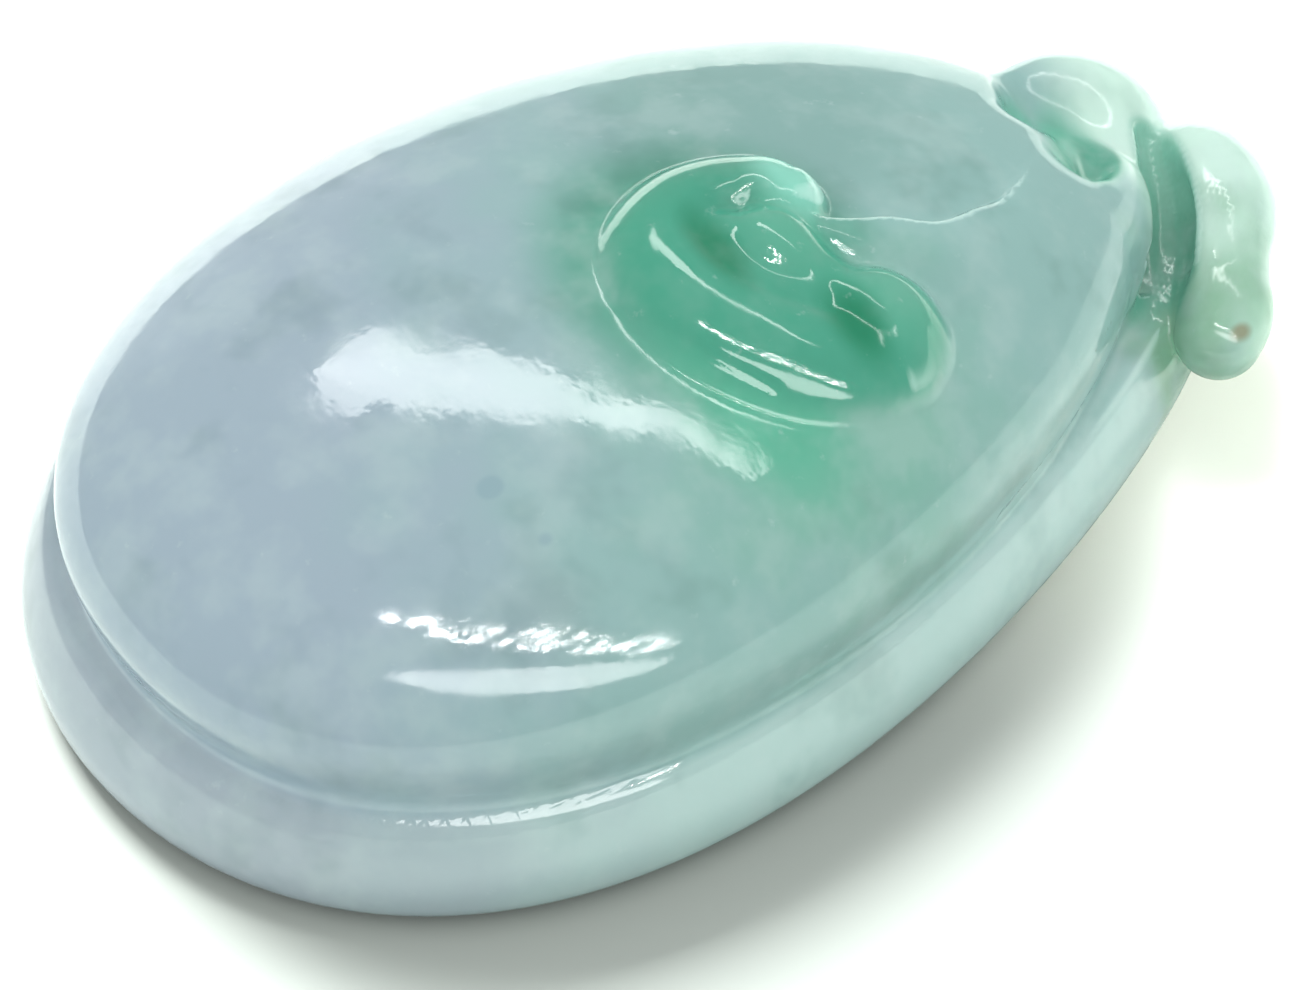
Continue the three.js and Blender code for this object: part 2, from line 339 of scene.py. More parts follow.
class HeightMap:
    """Heights on a grid in plan, read back through a cubic spline that rounds every crease."""

    def __init__(self, heights):
        axes = [np.arange(low, high, MAP_PITCH) for low, high in zip(MAP_LOW, MAP_HIGH)]
        self.values = heights(*np.meshgrid(*axes, indexing="ij"))

    def look(self, x, y):
        places, weights = [], []
        for v, low in zip((x, y), MAP_LOW):
            v = (v - low) / MAP_PITCH
            place = np.floor(v).astype(int)
            t = v - place
            places.append(place - 1)
            weights.append(((1 - t) ** 3 / 6, (3 * t ** 3 - 6 * t ** 2 + 4) / 6,
                            (1 + 3 * t + 3 * t ** 2 - 3 * t ** 3) / 6, t ** 3 / 6))
        height = 0
        for i, across in enumerate(weights[0]):
            for j, ahead in enumerate(weights[1]):
                height = height + across * ahead * self.values[places[0] + i, places[1] + j]
        return height

    def over(self, x, y, z):
        """Heights at places in space, 0 away from the map."""
        near = z > MAP_FLOOR
        for v, low, high in zip((x, y), MAP_LOW, MAP_HIGH):
            near = near & (v > low + MAP_MARGIN) & (v < high - MAP_MARGIN)
        height = np.zeros(np.shape(x))
        height[near] = self.look(x[near], y[near])
        return height


RUYI = HeightMap(ruyi)
HEAD = HeightMap(ruyi_head)


# The cord end. Leaves and cuts are round bars through (x, y, z, radius)
LEFT_LEAF = spline([
    (-3.0, 14.6, 4.8, 1.1), (-3.3, 15.9, 4.8, 1.72), (-2.85, 17.15, 4.4, 1.85),
    (-2.0, 17.9, 3.9, 1.45), (-1.2, 17.7, 3.6, 1.2)])
RIGHT_LEAF = spline([
    (-0.9, 18.3, 3.5, 1.0), (0.5, 18.85, 3.95, 1.6), (2.1, 18.5, 4.1, 1.72), (3.35, 17.6, 3.9, 1.55),
    (4.3, 17.15, 3.65, 1.38), (5.1, 16.65, 3.45, 1.42), (5.6, 16.1, 3.25, 1.3)])
SCOOP = spline([
    (-2.3, 15.4, 7.3, 0.6), (-1.2, 15.6, 7.1, 0.9), (-0.4, 15.45, 7.15, 0.9),
    (0.3, 15.0, 7.35, 0.75), (0.7, 14.4, 7.75, 0.5)])
LEFT_HOLLOW = spline([(-2.7, 14.95, 7.1, 0.35), (-2.0, 14.45, 7.3, 0.5), (-1.4, 13.9, 7.75, 0.4)])
SLOT = spline([
    (-0.6, 15.9, 6.5, 0.2), (0.0, 15.6, 6.5, 0.35), (0.6, 15.0, 6.6, 0.38),
    (1.1, 14.4, 6.9, 0.32), (1.3, 14.0, 7.2, 0.2)])
END_GROOVE = spline([
    (-0.5, 17.8, 5.4, 0.4), (1.5, 17.0, 5.0, 0.75), (2.9, 16.1, 4.5, 0.85), (4.4, 14.5, 4.0, 0.4)])
SIDE_GROOVE = spline([
    (8.6, 6.4, 4.0, 0.05), (7.4, 9.2, 3.95, 0.25), (6.2, 11.5, 3.9, 0.5), (4.1, 14.9, 4.0, 0.6)], 4)
SIDE_GROOVE_FILLET = 0.2
# The neck's lumps: centre, half sizes, fillet
NECK = [
    ((0.1, 13.5, 3.8), (3.9, 3.6, 3.7), 0.7),
    ((-0.6, 16.8, 3.6), (2.0, 1.5, 2.1), 0.6),
    ((1.0, 16.4, 2.5), (4.2, 2.4, 1.8), 0.4),
]
# Leaves and cuts, each with its fillet
LEAVES = ((LEFT_LEAF, 1.2), (RIGHT_LEAF, 0.35))
CUTS = ((SCOOP, 1.5), (LEFT_HOLLOW, 1.2), (SLOT, 0.5), (END_GROOVE, 0.35))
CORD_HOLE = dict(x=-2.3, y=15.5, z=4.4, radius=0.8, half_length=5.7, turn=0.07, fillet=0.15)
# The forms of the cord end lie wholly past this, and the side groove past this corner
END_FROM_Y = 9.5
SIDE_GROOVE_FROM = (2.0, 5.0)
# The hollows' colour: the cut, the gaps from it where the colour sets in and is full, and its share
HOLLOW_FADES = ((SCOOP, 0.7, 0.1, 1.0), (LEFT_HOLLOW, 0.6, 0.1, 1.0), (END_GROOVE, 0.5, 0.0, 0.8))
# Painted shade in the slot: the gaps from it where the deep green sets in and is full
SLOT_SHADE_FADE = (0.7, 0.2)
HOLLOWS_FROM_Y = 12.0
# The leaf's colour: how far it is blurred over the seam, and where it ends along the stone
LEAF_FADE = (-0.25, 0.35)
LEAF_ENDS = (16.0, 13.5)
# The rolled leaves' duller polish sets in along the stone
END_FADE = (14.0, 15.5)
# The bend, over a reach, that counts as a full edge, and the level under which the back isn't one
EDGE_REACH = 0.16
FULL_EDGE = 4.0
BACK_FADE = (0.5, 0.2)


def cord_end(x, y, z, body):
    """The neck, the two rolled leaves, and the grooves and holes between them."""
    f = body
    for centre, half, fillet in NECK:
        f = smooth_min(f, ball(x, y, z, centre, half), fillet)
    for leaf, fillet in LEAVES:
        f = smooth_min(f, chain(x, y, z, leaf), fillet)
    for cut, fillet in CUTS:
        f = smooth_max(f, -chain(x, y, z, cut), fillet)
    hole = CORD_HOLE
    across = np.hypot(y - hole["y"] + hole["turn"] * (x - hole["x"]), z - hole["z"]) - hole["radius"]
    bore = np.maximum(across, np.abs(x - hole["x"]) - hole["half_length"])
    return smooth_max(f, -bore, hole["fillet"])


def stone(x, y, z):
    """Field of the whole stone at flat arrays of places."""
    lift = RUYI.over(x, y, z) + waviness(x, y) * step(*WAVES_FROM, z)
    fillet = np.interp(heading_of(x, y), *PEACH_FILLET)
    body = smooth_min(peach(x, y, z - lift), leaf_layer(x, y, z), fillet)
    side = (x > SIDE_GROOVE_FROM[0]) & (y > SIDE_GROOVE_FROM[1])
    groove = chain(x[side], y[side], z[side], SIDE_GROOVE)
    body[side] = smooth_max(body[side], -groove, SIDE_GROOVE_FILLET)
    end = y > END_FROM_Y
    body[end] = cord_end(x[end], y[end], z[end], body[end])
    return np.maximum(body, -z)


def sample(low, high, pitch):
    """Field values on a grid from low to high."""
    axes = [np.arange(a, b + pitch, pitch) for a, b in zip(low, high)]
    x, y, z = np.meshgrid(*axes, indexing="ij")
    values = stone(x.ravel(), y.ravel(), z.ravel())
    return values.reshape(x.shape)


def slope(points, reach=0.01):
    """Field's gradient at points, by central differences."""
    columns = []
    for axis in range(3):
        ahead, behind = points.copy(), points.copy()
        ahead[:, axis] += reach
        behind[:, axis] -= reach
        columns.append((stone(*ahead.T) - stone(*behind.T)) / (2 * reach))
    return np.stack(columns, 1)


def settle(points, rounds=4, most=0.12, least_slope=0.05):
    """Draws points onto the field's surface, by no more than most in each round."""
    for _ in range(rounds):
        value, grade = stone(*points.T), slope(points)
        size2 = np.maximum((grade ** 2).sum(1), least_slope)
        move = -(value / size2)[:, None] * grade
        length = np.linalg.norm(move, axis=1, keepdims=True)
        points = points + move * np.minimum(1, most / np.maximum(length, TINY))
    return points


def in_fine_zones(points):
    """Which points lie where the carving is fine."""
    zones = [((points > low) & (points < high)).all(axis=1) for low, high in FINE_ZONES]
    return np.any(zones, axis=0)


def refine(mesh, where):
    """Halves every edge that has both its ends marked, which cuts a wholly marked face into four."""
    work = bmesh.new()
    work.from_mesh(mesh)
    work.verts.ensure_lookup_table()
    edges = [e for e in work.edges if where[e.verts[0].index] and where[e.verts[1].index]]
    bmesh.ops.subdivide_edges(work, edges=edges, cuts=1, use_grid_fill=True)
    bmesh.ops.triangulate(work, faces=[f for f in work.faces if len(f.verts) > 4])
    work.to_mesh(mesh)
    work.free()


def mesh_points(mesh):
    flat = np.empty(len(mesh.vertices) * 3, np.float64)
    mesh.vertices.foreach_get("co", flat)
    return flat.reshape(-1, 3)


def head_share(x, y, z):
    """1 on top of the ruyi's head, 0 on the peach."""
    return step(*HEAD_FADE, HEAD.over(x, y, z))


def leaf_share(x, y, z):
    """1 on the leaf layer, 0 on the peach."""
    return step(*LEAF_FADE, peach(x, y, z) - leaf_layer(x, y, z)) * step(*LEAF_ENDS, y)


def hollow_share(x, y, z):
    """1 in the hollows of the cord end, and less in the groove beside the right leaf."""
    near = y > HOLLOWS_FROM_Y
    x, y, z = x[near], y[near], z[near]
    share = np.zeros(np.shape(near))
    for cut, far, full, most in HOLLOW_FADES:
        share[near] = np.maximum(share[near], most * step(far, full, chain(x, y, z, cut)))
    return share


# Painted shade: 1 in the narrow slot, where deep green stands in for the shade that falls in it
def slot_shade_share(x, y, z):
    near = y > HOLLOWS_FROM_Y
    share = np.zeros(np.shape(near))
    share[near] = step(*SLOT_SHADE_FADE, chain(x[near], y[near], z[near], SLOT))
    return share


def end_share(x, y, z):
    """1 on the rolled leaves and the neck between them."""
    return step(*END_FADE, y)


def edge_share(x, y, z):
    """How convex the surface is, from -1 in a groove to 1 on an edge."""
    total = -6.0 * stone(x, y, z)
    for axis in range(3):
        for way in (-EDGE_REACH, EDGE_REACH):
            place = [x, y, z]
            place[axis] = place[axis] + way
            total += stone(*place)
    bend = total / EDGE_REACH ** 2
    return np.clip(bend / FULL_EDGE, -1, 1) * (1 - step(*BACK_FADE, z))


# Shares that the mesh carries at its points, for the material
SHARES = dict(edge=edge_share, end=end_share, head=head_share, leaf=leaf_share,
              hollow=hollow_share, slot_shade=slot_shade_share)


def build_stone():
    """The stone's mesh, on the field's surface, with the field's own normals."""
    low, high = np.array(GRID_LOW), np.array(GRID_HIGH)
    grid = openvdb.FloatGrid()
    grid.copyFromArray(sample(low, high, PITCH).astype(np.float32))
    points, quads = grid.convertToQuads(isovalue=0.0)
    mesh = bpy.data.meshes.new("jadeite_stone")
    points = settle(points.astype(float) * PITCH + low)
    mesh.from_pydata(points.tolist(), [], quads.tolist())
    refine(mesh, in_fine_zones(points))
    points = settle(mesh_points(mesh))
    normals = slope(points)
    normals /= np.linalg.norm(normals, axis=1, keepdims=True) + TINY
    mesh.vertices.foreach_set("co", ((points - np.array(MIDDLE)) * MM).ravel())
    for name, share in SHARES.items():
        layer = mesh.attributes.new(name, "FLOAT", "POINT")
        layer.data.foreach_set("value", share(*points.T).astype(np.float32))
    mesh.shade_smooth()
    mesh.update()
    mesh.normals_split_custom_set_from_vertices(normals.tolist())
    return mesh


def set_range(node, **numbers):
    """Sets the limits of a map range node, such as From_Min."""
    for key, number in numbers.items():
        node.inputs[key.replace("_", " ")].default_value = number


class Paint:
    """Short names for the shader nodes of one material."""

    def __init__(self, name):
        self.material = bpy.data.materials.new(name)
        self.material.use_nodes = True
        self.tree = self.material.node_tree
        self.shader = self.tree.nodes["Principled BSDF"]

    def node(self, kind, **settings):
        node = self.tree.nodes.new("ShaderNode" + kind)
        for key, value in settings.items():
            setattr(node, key, value)
        return node

    def feed(self, socket, value):
        if isinstance(value, bpy.types.NodeSocket):
            self.tree.links.new(value, socket)
        else:
            socket.default_value = value

    def math(self, operation, a, b):
        node = self.node("Math", operation=operation)
        self.feed(node.inputs[0], a)
        self.feed(node.inputs[1], b)
        return node.outputs[0]

    def vector(self, operation, a, b=(0, 0, 0)):
        node = self.node("VectorMath", operation=operation)
        self.feed(node.inputs[0], a)
        self.feed(node.inputs[1], b)
        return node.outputs["Value" if operation in ("LENGTH", "DOT_PRODUCT") else "Vector"]

    def ramp(self, value, low, high, out_low=0.0, out_high=1.0):
        """A smooth step between two values; low may be above high."""
        node = self.node("MapRange", interpolation_type="SMOOTHSTEP")
        self.feed(node.inputs["Value"], value)
        set_range(node, From_Min=low, From_Max=high, To_Min=out_low, To_Max=out_high)
        return node.outputs["Result"]

    def noise(self, place, scale, detail, roughness=0.5, output="Fac"):
        node = self.node("TexNoise")
        self.feed(node.inputs["Vector"], place)
        node.inputs["Scale"].default_value = scale
        node.inputs["Detail"].default_value = detail
        node.inputs["Roughness"].default_value = roughness
        return node.outputs[output]

    def mix(self, share, a, b, blend="MIX"):
        node = self.node("Mix", data_type="RGBA", blend_type=blend)
        self.feed(node.inputs["Factor"], share)
        self.feed(node.inputs[6], a)
        self.feed(node.inputs[7], b)
        return node.outputs[2]

    def share(self, name):
        """A share that the mesh carries at each of its points."""
        return self.node("Attribute", attribute_name=name).outputs["Fac"]

    def patch(self, place, centre, half, core, edge):
        """1 in the core of an oval patch, fading to 0 at its edge, both as shares of its half sizes."""
        away = self.vector("SUBTRACT", place, centre)
        away = self.vector("MULTIPLY", away, tuple(1.0 / h for h in half))
        return self.ramp(self.vector("LENGTH", away), edge, core)

    def patches(self, place, under, patches):
        """Patches laid over a colour, in order, each as colour, centre, half sizes, core and edge."""
        for shade, *where in patches:
            under = self.mix(self.patch(place, *where), under, shade)
        return under


def colour(red, green, blue):
    """A colour given as it looks on a screen, 0 to 255, in linear light."""
    screen = [v / 255 for v in (red, green, blue)]
    linear = [((v + 0.055) / 1.055) ** 2.4 if v > 0.04 else v / 12.92 for v in screen]
    return (*linear, 1.0)


LAVENDER = colour(128, 145, 155)
# Painted light: a paler lavender for the wide end's rim, as if it caught the light
LAVENDER_WITH_PAINTED_LIGHT = colour(142, 158, 167)
TEAL = colour(117, 151, 147)
GREEN = colour(100, 147, 133)
HALO = colour(71, 133, 115)
FOOT_GREEN = colour(72, 148, 123)
DEEP_GREEN = colour(53, 131, 108)
BUD_GREEN = colour(71, 140, 118)
LOBE_GREEN = colour(116, 178, 161)
EMERALD = colour(3, 106, 75)
GREY_LEAF = colour(133, 146, 153)
# Partly painted light: the leaf layer's own tone made paler, as if light glowed through it
PALE_LEAF_WITH_PAINTED_GLOW = colour(147, 174, 170)
PALE = colour(171, 199, 187)
TIP_GREEN = colour(117, 157, 133)
END_GREEN = colour(75, 145, 123)
GREY_SPOT = colour(112, 138, 145)
BROWN = colour(120, 126, 104)
MILK = colour(158, 176, 174)
SHADE = colour(175, 195, 190)
# Painted highlight: the paler colour laid on convex edges, as if they caught the light
PAINTED_EDGE_HIGHLIGHT = colour(190, 215, 208)

# The way through the stone along which lavender turns to teal, and grey leaf to pale leaf, whose paleness
# is partly painted glow of light through the layer
GRAIN = (0.45, 0.88, -0.1)
LAVENDER_TO_TEAL = (-11.0, 1.0)
GREY_TO_GLOWING_LEAF = (-12.0, 2.0)
# Patches: colour, centre, half sizes, core, edge
BODY_LOOSE_PATCHES = [
    # Painted light: the wide end of the peach made paler where its rim would catch the light
    (LAVENDER_WITH_PAINTED_LIGHT, (-9.5, -10.5, 6.0), (6.5, 9.0, 7.0), 0.2, 1.1),
    (GREEN, (6.2, 1.6, 8.5), (7.0, 6.5, 8.0), 0.25, 1.05),
]
BODY_PATCHES = [
    (HALO, (1.6, 1.3, 11.0), (6.4, 5.4, 6.0), 0.55, 1.05),
    (FOOT_GREEN, (5.3, 0.3, 10.0), (4.7, 2.6, 4.0), 0.35, 1.15),
]
HEAD_PATCHES = [
    (BUD_GREEN, (2.1, 3.3, 12.0), (2.2, 1.7, 3.0), 0.3, 1.1),
    (BUD_GREEN, (5.3, 5.2, 11.5), (2.2, 1.9, 3.0), 0.3, 1.1),
    (LOBE_GREEN, (0.2, 4.8, 11.5), (2.3, 1.4, 3.0), 0.3, 1.1),
    (EMERALD, (1.7, 1.35, 11.5), (1.7, 0.75, 3.0), 0.25, 1.3),
    (EMERALD, (5.4, 3.55, 11.0), (1.5, 0.9, 3.0), 0.25, 1.3),
]
END_PATCHES = [(PALE, (0.5, 18.9, 4.0), (10.0, 4.4, 4.6), 0.7, 1.05)]
END_LOOSE_PATCHES = [(TIP_GREEN, (5.2, 16.3, 3.2), (3.4, 2.6, 4.0), 0.3, 1.2)]
BROWN_SPECK = (BROWN, (6.5, 16.15, 4.15), (0.25, 0.45, 0.6), 0.3, 1.1)
# Grey specks: centre and half sizes, then the core and edge of them all, and their strength
GREY_SPOTS = [
    ((4.7, -7.7, 9.0), (0.45, 0.5, 2.0)),
    ((6.7, -7.2, 7.9), (0.35, 0.4, 2.0)),
    ((9.4, -9.7, 5.6), (0.5, 0.5, 1.5)),
]
GREY_SPOT_EDGE = (0.6, 1.1)
GREY_SPOT_STRENGTH = 0.7
# The darker far side of the peach: centre, half sizes, core, edge, and its strength
FAR_SIDE = ((-3.2, 5.2, 9.0), (6.0, 7.0, 8.0), 0.3, 1.1)
FAR_SIDE_STRENGTH = 0.3
# How far loose patches drift, in millimetres
DRIFT = 6.0
# Noises, each as scale, detail and roughness
DRIFTS = (0.35, 2.0, 0.5)
CLOUDS = (0.45, 3.0, 0.6)
DEPTHS = (0.3, 3.0, 0.6)
FLECKS = (1.7, 3.0, 0.65)
POLISH = (0.8, 1.0, 0.5)
BUMPS = (1.6, 2.0, 0.6)
# Moves the dark depths' noise away from the clouds'
DEPTHS_ASIDE = (31.0, 7.0, 3.0)
# Ramps, each as the values where it starts and ends, and what it gives there
CLOUD_RAMP = (0.42, 0.7, 0.0, 0.22)
DEPTH_RAMP = (0.5, 0.75, 0.0, 0.36)
FLECK_RAMP = (0.64, 0.82, 0.0, 0.28)
CALM_HEAD_RAMP = (0.0, 1.0, 1.0, 0.35)
PAINTED_EDGE_HIGHLIGHT_RAMP = (0.45, 1.0, 0.0, 0.35)
POLISH_RAMP = (0.3, 0.7, 0.05, 0.12)
DULL_GROOVE_RAMP = (-0.1, -1.0, 0.0, 0.09)
DULL_END_RAMP = (0.0, 1.0, 0.0, 0.08)
# Jadeite bends light this much, and lets it in this far
JADEITE_IOR = 1.66
LIGHT_DEPTH = 1.3
LIGHT_DEPTH_BY_COLOUR = (0.8, 1.0, 1.0)
BUMP_HEIGHT = 0.02
BUMP_STRENGTH = 0.25


def jadeite_colour(p, place):
    """Lavender turning to teal, with painted light on the wide end, greens about the ruyi, a leaf layer
    made paler partly by painted glow of light through it, pale rolled leaves, and painted shade in the
    slot.
    """
    drift = p.vector("SUBTRACT", p.noise(place, *DRIFTS, output="Color"), (0.5, 0.5, 0.5))
    loose = p.vector("ADD", place, p.vector("MULTIPLY", drift, (DRIFT,) * 3))
    along = p.vector("DOT_PRODUCT", loose, GRAIN)
    body = p.mix(p.ramp(along, *LAVENDER_TO_TEAL), LAVENDER, TEAL)
    # The first loose patch is painted light on the wide end; the green one is the stone's own colour
    body = p.patches(loose, body, BODY_LOOSE_PATCHES)
    body = p.patches(place, body, BODY_PATCHES)
    body = p.mix(p.share("head"), body, p.patches(place, DEEP_GREEN, HEAD_PATCHES))
    # The leaf layer's paleness is partly its own tone and partly painted light glowing through it
    leaf = p.mix(p.ramp(along, *GREY_TO_GLOWING_LEAF), GREY_LEAF, PALE_LEAF_WITH_PAINTED_GLOW)
    body = p.mix(p.share("leaf"), body, leaf)
    body = p.patches(place, body, END_PATCHES)
    body = p.patches(loose, body, END_LOOSE_PATCHES)
    body = p.mix(p.share("hollow"), body, END_GREEN)
    # Painted shade: deep green in the slot, partly its own colour and partly the shade that falls in it
    return p.mix(p.share("slot_shade"), body, DEEP_GREEN)


def mottle(p, place, body):
    """Shade, clouds, flecks, a painted highlight on convex edges, and specks over the stone's colour."""
    far_side = p.ramp(p.patch(place, *FAR_SIDE), 0.0, 1.0, 0.0, FAR_SIDE_STRENGTH)
    body = p.mix(far_side, body, SHADE, "MULTIPLY")
    calm = p.ramp(p.share("head"), *CALM_HEAD_RAMP)
    cloud = p.ramp(p.noise(place, *CLOUDS), *CLOUD_RAMP)
    body = p.mix(p.math("MULTIPLY", cloud, calm), body, MILK)
    depth = p.ramp(p.noise(p.vector("ADD", place, DEPTHS_ASIDE), *DEPTHS), *DEPTH_RAMP)
    body = p.mix(p.math("MULTIPLY", depth, calm), body, SHADE, "MULTIPLY")
    body = p.mix(p.ramp(p.noise(place, *FLECKS), *FLECK_RAMP), body, MILK)
    # Painted highlight: convex edges and ridges are made paler, as if they caught the light
    body = p.mix(p.ramp(p.share("edge"), *PAINTED_EDGE_HIGHLIGHT_RAMP), body, PAINTED_EDGE_HIGHLIGHT)
    for centre, half in GREY_SPOTS:
        spot = p.patch(place, centre, half, *GREY_SPOT_EDGE)
        body = p.mix(p.ramp(spot, 0.0, 1.0, 0.0, GREY_SPOT_STRENGTH), body, GREY_SPOT)
    return p.patches(place, body, [BROWN_SPECK])


def polish(p, place):
    """Roughness: a fine polish, duller in grooves and on the rolled leaves."""
    rough = p.ramp(p.noise(place, *POLISH), *POLISH_RAMP)
    groove = p.ramp(p.share("edge"), *DULL_GROOVE_RAMP)
    end = p.ramp(p.share("end"), *DULL_END_RAMP)
    return p.math("ADD", rough, p.math("MAXIMUM", groove, end))


def jadeite_material():
    p = Paint("jadeite")
    place = p.node("TexCoord").outputs["Object"]
    place = p.vector("MULTIPLY", place, (1 / MM,) * 3)
    place = p.vector("ADD", place, MIDDLE)
    p.feed(p.shader.inputs["Base Color"], mottle(p, place, jadeite_colour(p, place)))
    p.feed(p.shader.inputs["Roughness"], polish(p, place))
    p.shader.inputs["IOR"].default_value = JADEITE_IOR
    p.shader.subsurface_method = "BURLEY"
    p.shader.inputs["Subsurface Weight"].default_value = 1.0
    p.shader.inputs["Subsurface Radius"].default_value = LIGHT_DEPTH_BY_COLOUR
    p.shader.inputs["Subsurface Scale"].default_value = LIGHT_DEPTH * MM
    bump = p.node("Bump")
    bump.inputs["Strength"].default_value = BUMP_STRENGTH
    bump.inputs["Distance"].default_value = BUMP_HEIGHT * MM
    p.feed(bump.inputs["Height"], p.noise(place, *BUMPS))
    p.feed(p.shader.inputs["Normal"], bump.outputs["Normal"])
    return p.material


# The world: white, brightest towards one side, and dimmer where it is mirrored
BRIGHT_SIDE = (-0.5, 0.1, 0.8)
BRIGHT_SIDE_RAMP = (-0.5, 0.95)
WORLD_RANGE = (1.35, 1.85)
WORLD_IN_GLOSS = 0.5
# Strips of light: ends and width as shares of their height in metres, and brightness
STRIP_HEIGHT = 0.5
STRIPS = {
    "long_strip": ((-0.95, 0.0), (-0.3, 0.3), 0.15, 5.5),
    "strip_tail": ((-0.75, 0.08), (0.28, 0.575), 0.06, 6.5),
    "strip_end": ((-1.0, 0.14), (-0.68, 0.0), 0.2, 4.5),
    "near_strip": ((0.4, -0.57), (2.95, 0.71), 0.42, 5.5),
}
# A strip that is broken up into small lamps: how many along and across, and each one's soft edge
LAMP_ROW = ((0.0, -0.33), (1.9, 0.6), 0.14, 90.0)
LAMP_COUNTS = (95.0, 2.2, 1.0)
LAMP_EDGE = (0.36, 0.26)
# The light that throws the shadow, in metres and watts, and the way towards it
FLOOR_KEY = dict(size=0.5, energy=45.0, away=0.9, direction=(-1.0, 0.15, 1.1))
# Light that comes through the thin leaves onto the floor beside them; places in millimetres
GLOW = dict(colour=(1.0, 0.96, 0.88), energy=5.2, degrees=9, at=(6.2, 18.2, 0.0), lamp=(72.0, 62.0, 65.0))
GLOW_LAMP_RADIUS = 0.01
# The floor, in metres
FLOOR_HALF = 2.0
PAPER = (0.252, 0.28, 0.257, 1.0)
PAPER_ROUGHNESS = 0.7
# The camera: headings in degrees, distance and aim in millimetres
CAMERA = dict(azimuth=58, elevation=48, away=170, aim=(-0.234, 0.583, 0.0), lens=161.6, sensor=36.0)


def link(thing):
    bpy.context.scene.collection.objects.link(thing)
    return thing


def strip_light(name, start, end, width, strength):
    """A level oval strip of light that shows only in the stone's polish."""
    a, b = (Vector((x, y, 1.0)) * STRIP_HEIGHT for x, y in (start, end))
    run = b - a
    light = bpy.data.lights.new(name, "AREA")
    light.shape = "ELLIPSE"
    light.size = run.length
    light.size_y = width * STRIP_HEIGHT
    light.energy = strength * math.pi * light.size * light.size_y * math.pi / 4
    light.use_shadow = False
    thing = link(bpy.data.objects.new(name, light))
    thing.visible_diffuse = False
    thing.location = (a + b) / 2
    thing.rotation_euler = (0, 0, math.atan2(run.y, run.x))
    return light


def sparkle(light):
    """Breaks a strip light up into a row of small lamps."""
    light.use_nodes = True
    tree = light.node_tree
    place = tree.nodes.new("ShaderNodeNewGeometry").outputs["Parametric"]
    stretch = tree.nodes.new("ShaderNodeVectorMath")
    stretch.operation = "MULTIPLY"
    stretch.inputs[1].default_value = LAMP_COUNTS
    tree.links.new(place, stretch.inputs[0])
    cells = tree.nodes.new("ShaderNodeTexVoronoi")
    cells.inputs["Scale"].default_value = 1.0
    tree.links.new(stretch.outputs["Vector"], cells.inputs["Vector"])
    lamps = tree.nodes.new("ShaderNodeMapRange")
    set_range(lamps, From_Min=LAMP_EDGE[0], From_Max=LAMP_EDGE[1])
    tree.links.new(cells.outputs["Distance"], lamps.inputs["Value"])
    tree.links.new(lamps.outputs["Result"], tree.nodes["Emission"].inputs["Strength"])


def place_lamp(light, location, direction):
    """Puts a light at a place, shining against the direction given."""
    thing = link(bpy.data.objects.new(light.name, light))
    thing.location = location
    thing.rotation_euler = direction.to_track_quat("Z", "Y").to_euler()
    return thing


def floor_key():
    """The soft light that throws the stone's shadow."""
    light = bpy.data.lights.new("floor_key", "AREA")
    light.size = FLOOR_KEY["size"]
    light.energy = FLOOR_KEY["energy"]
    direction = Vector(FLOOR_KEY["direction"])
    return place_lamp(light, direction.normalized() * FLOOR_KEY["away"], direction)


def green_glow():
    """The light that comes through the thin leaves onto the floor."""
    light = bpy.data.lights.new("green_glow", "SPOT")
    light.color = GLOW["colour"]
    light.energy = GLOW["energy"]
    light.spot_size = math.radians(GLOW["degrees"])
    light.spot_blend = 1.0
    light.shadow_soft_size = GLOW_LAMP_RADIUS
    direction = Vector(GLOW["lamp"])
    return place_lamp(light, (Vector(GLOW["at"]) + direction) * MM, direction)


def white_floor():
    """A plain sheet of paper with lights of its own, so that the stone's shadow is clear."""
    mesh = bpy.data.meshes.new("floor")
    corners = [(x * FLOOR_HALF, y * FLOOR_HALF, 0) for x, y in ((-1, -1), (1, -1), (1, 1), (-1, 1))]
    mesh.from_pydata(corners, [], [(0, 1, 2, 3)])
    paper = Paint("white_paper")
    paper.shader.inputs["Base Color"].default_value = PAPER
    paper.shader.inputs["Roughness"].default_value = PAPER_ROUGHNESS
    mesh.materials.append(paper.material)
    floor = link(bpy.data.objects.new("floor", mesh))
    only = bpy.data.collections.new("floor_only")
    only.objects.link(floor)
    for thing in (floor_key(), green_glow()):
        thing.light_linking.receiver_collection = only


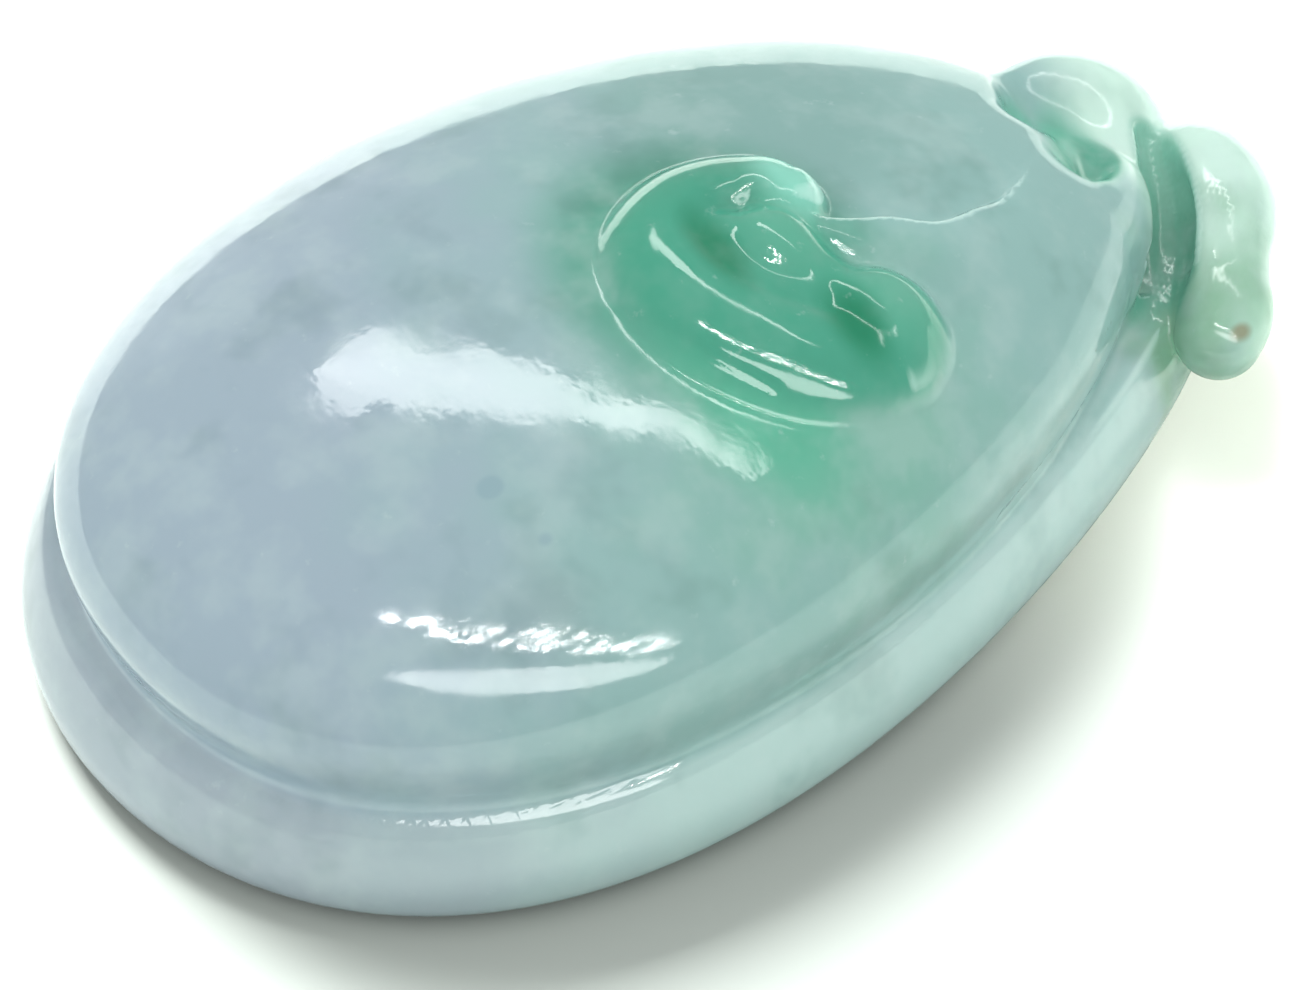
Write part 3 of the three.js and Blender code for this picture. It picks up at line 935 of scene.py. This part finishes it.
def white_world():
    """A white sky, brighter towards one side, and dimmed where the stone mirrors it."""
    world = bpy.data.worlds.new("studio")
    bpy.context.scene.world = world
    world.use_nodes = True
    world.cycles.sampling_method = "NONE"
    tree = world.node_tree
    place = tree.nodes.new("ShaderNodeTexCoord")
    towards = tree.nodes.new("ShaderNodeVectorMath")
    towards.operation = "DOT_PRODUCT"
    towards.inputs[1].default_value = Vector(BRIGHT_SIDE).normalized()
    tree.links.new(place.outputs["Generated"], towards.inputs[0])
    bright = tree.nodes.new("ShaderNodeMapRange")
    bright.interpolation_type = "SMOOTHSTEP"
    set_range(bright, From_Min=BRIGHT_SIDE_RAMP[0], From_Max=BRIGHT_SIDE_RAMP[1],
              To_Min=WORLD_RANGE[0], To_Max=WORLD_RANGE[1])
    tree.links.new(towards.outputs["Value"], bright.inputs["Value"])
    ray = tree.nodes.new("ShaderNodeLightPath")
    shown = tree.nodes.new("ShaderNodeMix")
    shown.inputs["B"].default_value = WORLD_IN_GLOSS
    tree.links.new(ray.outputs["Is Glossy Ray"], shown.inputs["Factor"])
    tree.links.new(bright.outputs["Result"], shown.inputs["A"])
    tree.links.new(shown.outputs["Result"], tree.nodes["Background"].inputs["Strength"])
    tree.nodes["Background"].inputs["Color"].default_value = (1, 1, 1, 1)


def studio():
    white_world()
    for name, strip in STRIPS.items():
        strip_light(name, *strip)
    sparkle(strip_light("lamp_row", *LAMP_ROW))
    white_floor()
    bpy.context.scene.view_settings.view_transform = "Standard"


def photo_camera():
    """The camera at the photo's angle."""
    camera = bpy.data.cameras.new("camera")
    camera.sensor_width = CAMERA["sensor"]
    camera.lens = CAMERA["lens"]
    camera.clip_start = 0.01
    azimuth, elevation = math.radians(CAMERA["azimuth"]), math.radians(CAMERA["elevation"])
    level = math.cos(elevation)
    back = Vector((math.sin(azimuth) * level, -math.cos(azimuth) * level, math.sin(elevation)))
    aim = (Vector(CAMERA["aim"]) - Vector(MIDDLE)) * MM
    thing = link(bpy.data.objects.new("camera", camera))
    thing.location = aim + back * CAMERA["away"] * MM
    thing.rotation_euler = back.to_track_quat("Z", "Y").to_euler()
    bpy.context.scene.camera = thing


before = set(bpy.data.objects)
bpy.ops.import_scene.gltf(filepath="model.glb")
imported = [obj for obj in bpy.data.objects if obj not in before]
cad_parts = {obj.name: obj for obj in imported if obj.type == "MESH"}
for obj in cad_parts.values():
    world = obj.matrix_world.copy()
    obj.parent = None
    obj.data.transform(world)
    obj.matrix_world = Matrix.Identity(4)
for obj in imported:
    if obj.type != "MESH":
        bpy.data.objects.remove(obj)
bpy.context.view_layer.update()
photo_camera()
studio()
pendant = link(bpy.data.objects.new("jadeite_stone", build_stone()))
pendant.data.materials.append(jadeite_material())
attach(pendant, "root")
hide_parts("jadeite_pendant")
